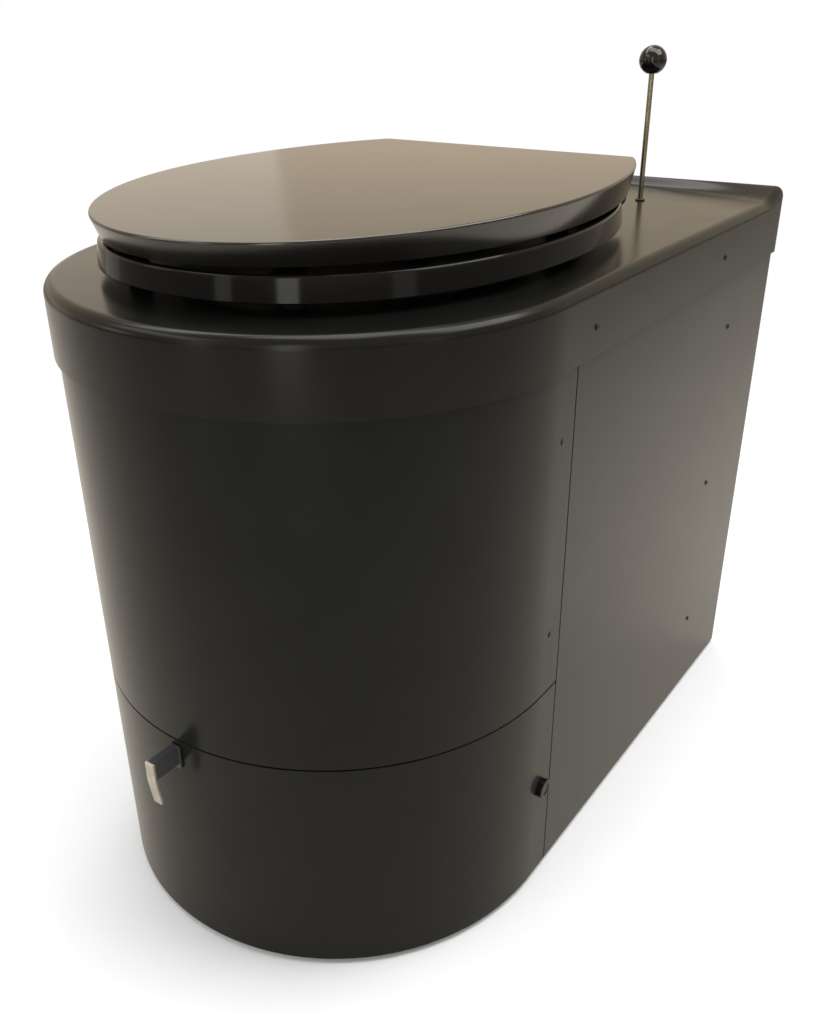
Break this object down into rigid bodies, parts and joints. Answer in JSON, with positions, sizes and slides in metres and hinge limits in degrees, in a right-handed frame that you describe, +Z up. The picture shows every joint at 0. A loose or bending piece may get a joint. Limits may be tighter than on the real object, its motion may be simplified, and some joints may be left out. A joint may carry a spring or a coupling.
{
  "type": "incinerating toilet",
  "caption": "Floor-standing incinerating toilet with a half-round front, hinged lid, pull-rod trap flap, electric firing chamber, exhaust fan and a pull-out ash drawer.",
  "frame": {"origin": "centre of the overall box at floor level", "axes": "+Z up, -Y towards the user at the half-round front, +X towards the side with the pull rod"},
  "size_m": [0.4006, 0.6946, 0.638],
  "materials": {
    "dark_powder_coat": "satin powder coat",
    "deck_coat": "satin powder coat",
    "gloss_black": "gloss",
    "black_plastic": "satin",
    "screw_black": "blackened",
    "black_rubber": "matt",
    "stainless": "brushed",
    "aluminium": "satin",
    "galvanised": "galvanised",
    "scale_steel": "heat scaled",
    "mineral_wool": "fibrous board"
  },
  "bodies": {
    "housing": {"base_tray": "galvanised", "foot_front_right": "black_rubber", "foot_front_left": "black_rubber", "foot_rear_right": "black_rubber", "foot_rear_left": "black_rubber", "side_panel_right": "dark_powder_coat", "side_panel_left": "dark_powder_coat", "drawer_rail_right": "galvanised", "drawer_rail_left": "galvanised", "hinge_post_right": "black_plastic", "hinge_post_left": "black_plastic", "back_panel": "dark_powder_coat", "front_panel": "dark_powder_coat", "deck_cover": "deck_coat", "bulkhead": "galvanised", "chamber_shelf": "galvanised", "bowl": "stainless", "firing_chamber": "scale_steel", "chamber_jacket": "mineral_wool", "fire_grate": "scale_steel", "heating_element": "scale_steel", "exhaust_duct": "scale_steel", "fan_housing": "galvanised", "fan_motor": "black_plastic", "flue_collar": "stainless", "control_box": "black_plastic", "power_inlet": "black_plastic", "shaft_bracket_front": "galvanised", "shaft_bracket_rear": "galvanised", "rod_bush": "black_plastic", "rod_guide": "black_plastic", "seat_ring": "gloss_black", "seat_buffer_front_right": "black_rubber", "seat_buffer_front_left": "black_rubber", "seat_buffer_rear_right": "black_rubber", "seat_buffer_rear_left": "black_rubber", "front_screw_right_upper": "screw_black", "front_screw_right_lower": "screw_black", "front_screw_left_upper": "screw_black", "front_screw_left_lower": "screw_black", "skirt_screw_right_front": "screw_black", "skirt_screw_right_rear": "screw_black", "skirt_screw_left_front": "screw_black", "skirt_screw_left_rear": "screw_black"},
    "lid": {"lid": "gloss_black"},
    "trap": {"trap_flap": "stainless", "flap_shaft": "stainless", "drive_pinion": "stainless"},
    "pull": {"pull_rod": "stainless", "rod_rack": "stainless", "ball_knob": "gloss_black"},
    "fan": {"fan_wheel": "aluminium"},
    "drawer": {"drawer_front": "dark_powder_coat", "drawer_carriage": "galvanised", "ash_pan": "galvanised", "handle_arm": "black_plastic", "handle_grip": "aluminium"},
    "knob_right": {"clamp_knob_right": "black_plastic"},
    "knob_left": {"clamp_knob_left": "black_plastic"}
  },
  "joints": [
    {"name": "lid_hinge", "type": "hinge", "parent": "housing", "child": "lid", "pos_m": [0, 0.10925, 0.528], "axis": [-1, 0, 0], "range_deg": [0, 100]},
    {"name": "flap_turn", "type": "hinge", "parent": "housing", "child": "trap", "pos_m": [0.066, -0.09075, 0.3973], "axis": [0, -1, 0], "range_deg": [0, 85]},
    {"name": "rod_slide", "type": "slide", "parent": "housing", "child": "pull", "axis": [0, 0, 1], "range_m": [0, 0.0306]},
    {"name": "drawer_slide", "type": "slide", "parent": "housing", "child": "drawer", "axis": [0, -1, 0], "range_m": [0, 0.3]},
    {"name": "knob_turn_right", "type": "hinge", "parent": "drawer", "child": "knob_right", "pos_m": [0.195, -0.11675, 0.0978], "axis": [1, 0, 0], "range_deg": [0, 360]},
    {"name": "knob_turn_left", "type": "hinge", "parent": "drawer", "child": "knob_left", "pos_m": [-0.195, -0.11675, 0.0978], "axis": [-1, 0, 0], "range_deg": [0, 360]},
    {"name": "fan_spin", "type": "hinge", "parent": "housing", "child": "fan", "pos_m": [0, 0.13925, 0.315], "axis": [0, 1, 0], "continuous": true}
  ],
  "couplings": [
    {"joint": "rod_slide", "follows": "flap_turn", "m_per_rad": 0.0205}
  ]
}
